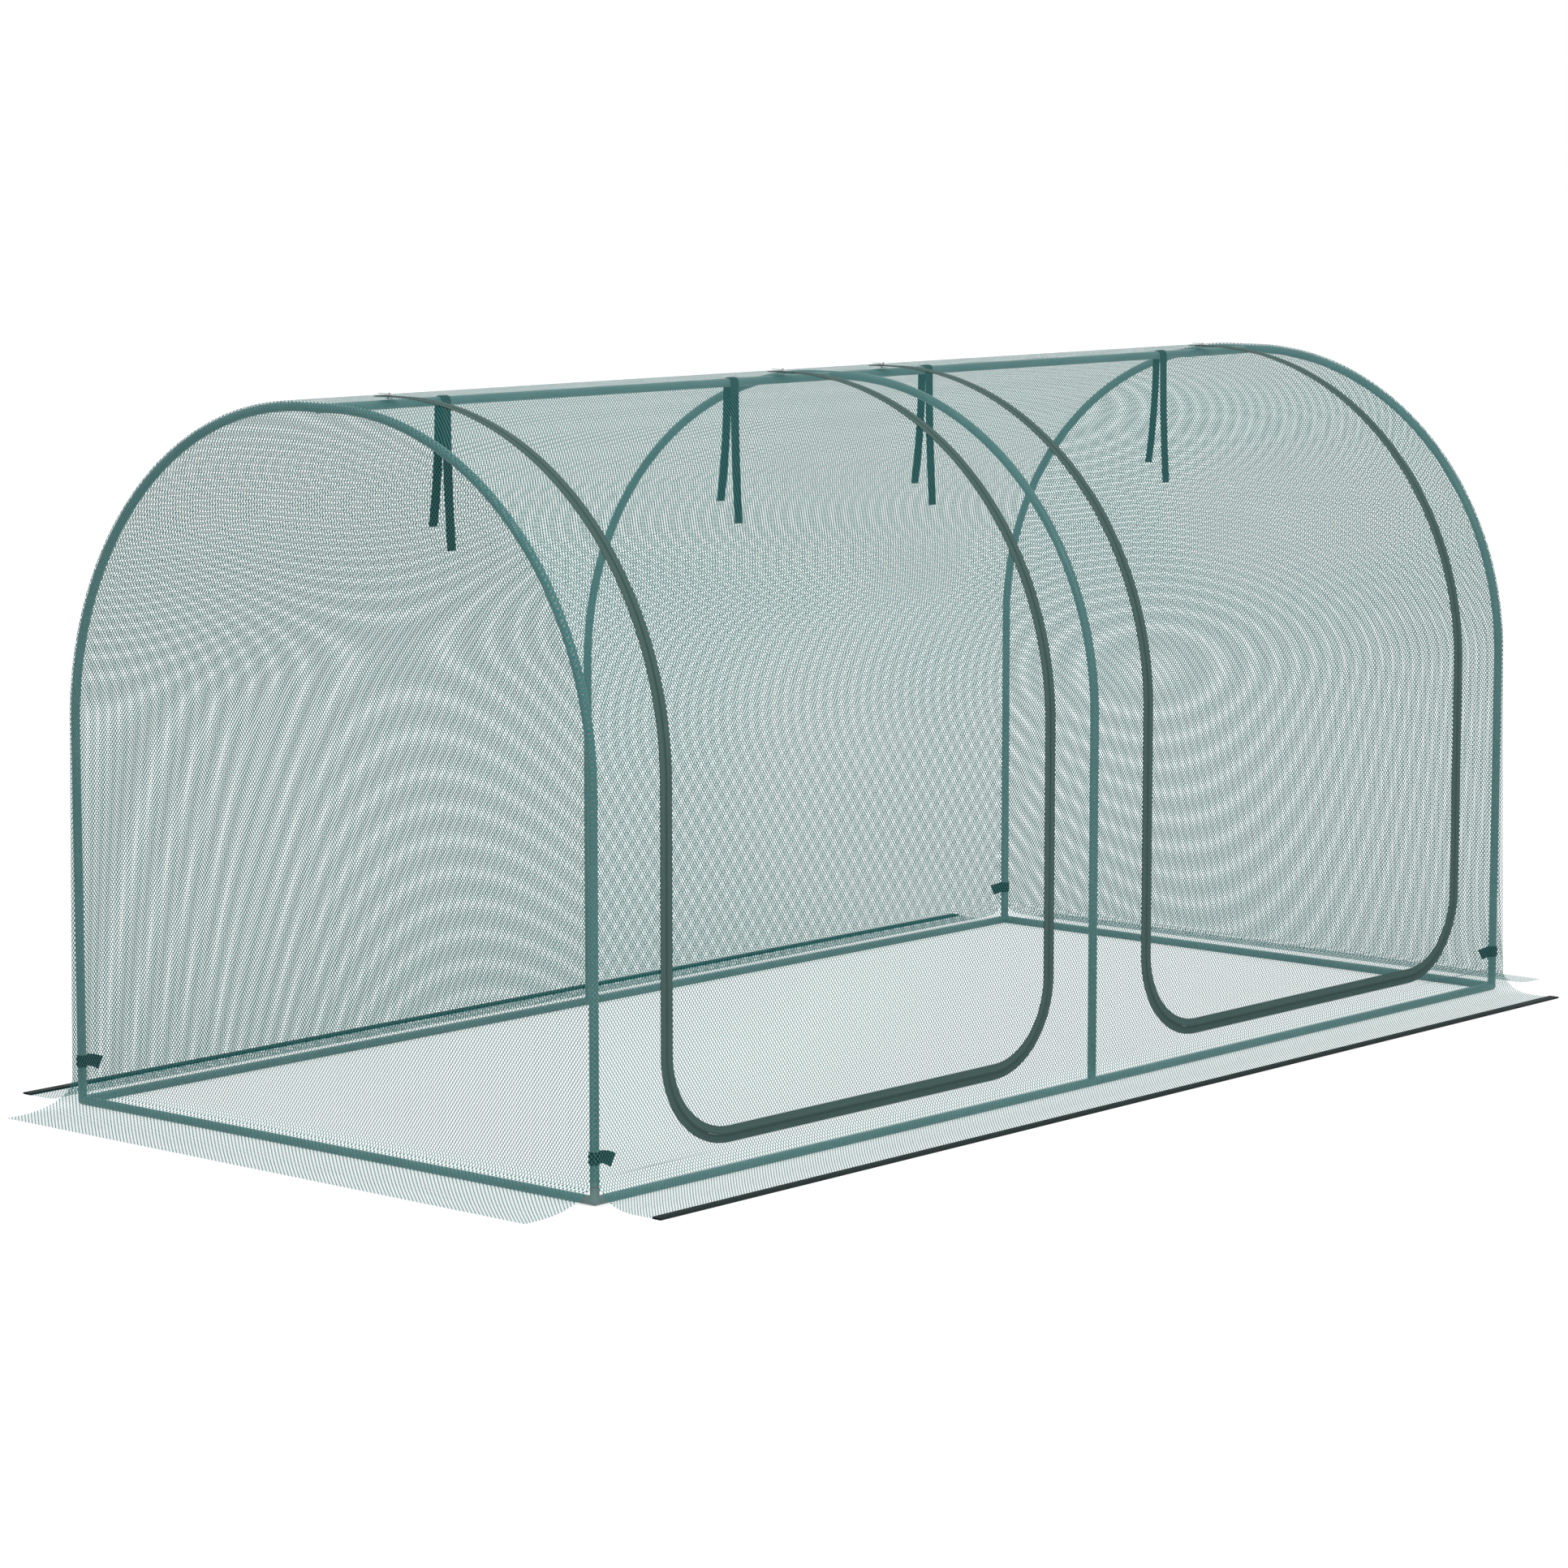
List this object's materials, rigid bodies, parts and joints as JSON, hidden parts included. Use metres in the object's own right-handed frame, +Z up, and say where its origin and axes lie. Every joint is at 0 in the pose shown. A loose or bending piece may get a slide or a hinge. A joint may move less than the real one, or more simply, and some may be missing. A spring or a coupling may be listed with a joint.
{
  "type": "fruit cage",
  "caption": "Low arched fruit cage: tube hoops and rails under a fitted net cover with ground skirts and zipped lift-up doors.",
  "frame": {"origin": "on the ground, under the middle of the cage", "axes": "+X along the cage towards its right end seen from the doors, -Y towards the doors, +Z up"},
  "size_m": [2.808, 1.476, 1.2153],
  "materials": {
    "green_powder_coat": "satin powder coat",
    "knitted_net": "fine knitted mesh, see-through",
    "zip_tape": "woven zip tape with a moulded chain",
    "hem_binding": "woven binding",
    "webbing": "ribbed webbing",
    "plated_zinc": "satin nickel plate"
  },
  "bodies": {
    "cage": {"left_front_hoop_tube": "green_powder_coat", "left_back_hoop_tube": "green_powder_coat", "left_crown_fitting": "green_powder_coat", "middle_front_hoop_tube": "green_powder_coat", "middle_back_hoop_tube": "green_powder_coat", "middle_crown_fitting": "green_powder_coat", "right_front_hoop_tube": "green_powder_coat", "right_back_hoop_tube": "green_powder_coat", "right_crown_fitting": "green_powder_coat", "front_left_rail": "green_powder_coat", "front_right_rail": "green_powder_coat", "front_foot_fitting": "green_powder_coat", "front_left_corner_fitting": "green_powder_coat", "front_right_corner_fitting": "green_powder_coat", "back_left_rail": "green_powder_coat", "back_right_rail": "green_powder_coat", "back_foot_fitting": "green_powder_coat", "back_left_corner_fitting": "green_powder_coat", "back_right_corner_fitting": "green_powder_coat", "left_end_rail": "green_powder_coat", "left_ridge_tube": "green_powder_coat", "right_end_rail": "green_powder_coat", "right_ridge_tube": "green_powder_coat", "roof_net": "knitted_net", "front_net": "knitted_net", "back_net": "knitted_net", "left_end_net": "knitted_net", "right_end_net": "knitted_net", "front_skirt": "knitted_net", "back_skirt": "knitted_net", "left_skirt": "knitted_net", "right_skirt": "knitted_net", "front_hem_binding": "hem_binding", "back_hem_binding": "hem_binding", "left_door_frame_zip_tape": "zip_tape", "right_door_frame_zip_tape": "zip_tape", "front_left_corner_strap": "webbing", "front_right_corner_strap": "webbing", "back_left_corner_strap": "webbing", "back_right_corner_strap": "webbing"},
    "left_door": {"left_door_net": "knitted_net", "left_door_zip_tape": "zip_tape"},
    "left_door_left_slider": {"left_door_left_slider": "plated_zinc"},
    "left_door_left_pull_tab": {"left_door_left_pull_tab": "plated_zinc"},
    "left_door_left_tie": {"left_door_left_tie": "webbing"},
    "left_door_right_slider": {"left_door_right_slider": "plated_zinc"},
    "left_door_right_pull_tab": {"left_door_right_pull_tab": "plated_zinc"},
    "left_door_right_tie": {"left_door_right_tie": "webbing"},
    "right_door": {"right_door_net": "knitted_net", "right_door_zip_tape": "zip_tape"},
    "right_door_left_slider": {"right_door_left_slider": "plated_zinc"},
    "right_door_left_pull_tab": {"right_door_left_pull_tab": "plated_zinc"},
    "right_door_left_tie": {"right_door_left_tie": "webbing"},
    "right_door_right_slider": {"right_door_right_slider": "plated_zinc"},
    "right_door_right_pull_tab": {"right_door_right_pull_tab": "plated_zinc"},
    "right_door_right_tie": {"right_door_right_tie": "webbing"}
  },
  "joints": [
    {"name": "left_door_lift", "type": "hinge", "parent": "cage", "child": "left_door", "pos_m": [-0.61325, -0.03, 1.2081], "axis": [-1, 0, 0], "range_deg": [0, 100]},
    {"name": "left_door_left_slider_travel", "type": "hinge", "parent": "cage", "child": "left_door_left_slider", "pos_m": [-1.0905, -0.034, 0.639], "axis": [1, 0, 0], "range_deg": [0, 90]},
    {"name": "left_door_left_pull_tab_flip", "type": "hinge", "parent": "left_door_left_slider", "child": "left_door_left_pull_tab", "pos_m": [-1.0905, -0.008, 1.21299], "axis": [1, 0, 0], "range_deg": [0, 180]},
    {"name": "left_door_left_tie_swing", "type": "hinge", "parent": "cage", "child": "left_door_left_tie", "pos_m": [-0.9635, 0, 1.1957], "axis": [1, 0, 0], "range_deg": [-60, 60]},
    {"name": "left_door_right_slider_travel", "type": "hinge", "parent": "cage", "child": "left_door_right_slider", "pos_m": [-0.136, -0.034, 0.639], "axis": [1, 0, 0], "range_deg": [0, 90]},
    {"name": "left_door_right_pull_tab_flip", "type": "hinge", "parent": "left_door_right_slider", "child": "left_door_right_pull_tab", "pos_m": [-0.136, -0.008, 1.21299], "axis": [1, 0, 0], "range_deg": [0, 180]},
    {"name": "left_door_right_tie_swing", "type": "hinge", "parent": "cage", "child": "left_door_right_tie", "pos_m": [-0.263, 0, 1.1957], "axis": [1, 0, 0], "range_deg": [-60, 60]},
    {"name": "right_door_lift", "type": "hinge", "parent": "cage", "child": "right_door", "pos_m": [0.61325, -0.03, 1.2081], "axis": [-1, 0, 0], "range_deg": [0, 100]},
    {"name": "right_door_left_slider_travel", "type": "hinge", "parent": "cage", "child": "right_door_left_slider", "pos_m": [0.136, -0.034, 0.639], "axis": [1, 0, 0], "range_deg": [0, 90]},
    {"name": "right_door_left_pull_tab_flip", "type": "hinge", "parent": "right_door_left_slider", "child": "right_door_left_pull_tab", "pos_m": [0.136, -0.008, 1.21299], "axis": [1, 0, 0], "range_deg": [0, 180]},
    {"name": "right_door_left_tie_swing", "type": "hinge", "parent": "cage", "child": "right_door_left_tie", "pos_m": [0.263, 0, 1.1957], "axis": [1, 0, 0], "range_deg": [-60, 60]},
    {"name": "right_door_right_slider_travel", "type": "hinge", "parent": "cage", "child": "right_door_right_slider", "pos_m": [1.0905, -0.034, 0.639], "axis": [1, 0, 0], "range_deg": [0, 90]},
    {"name": "right_door_right_pull_tab_flip", "type": "hinge", "parent": "right_door_right_slider", "child": "right_door_right_pull_tab", "pos_m": [1.0905, -0.008, 1.21299], "axis": [1, 0, 0], "range_deg": [0, 180]},
    {"name": "right_door_right_tie_swing", "type": "hinge", "parent": "cage", "child": "right_door_right_tie", "pos_m": [0.9635, 0, 1.1957], "axis": [1, 0, 0], "range_deg": [-60, 60]}
  ]
}
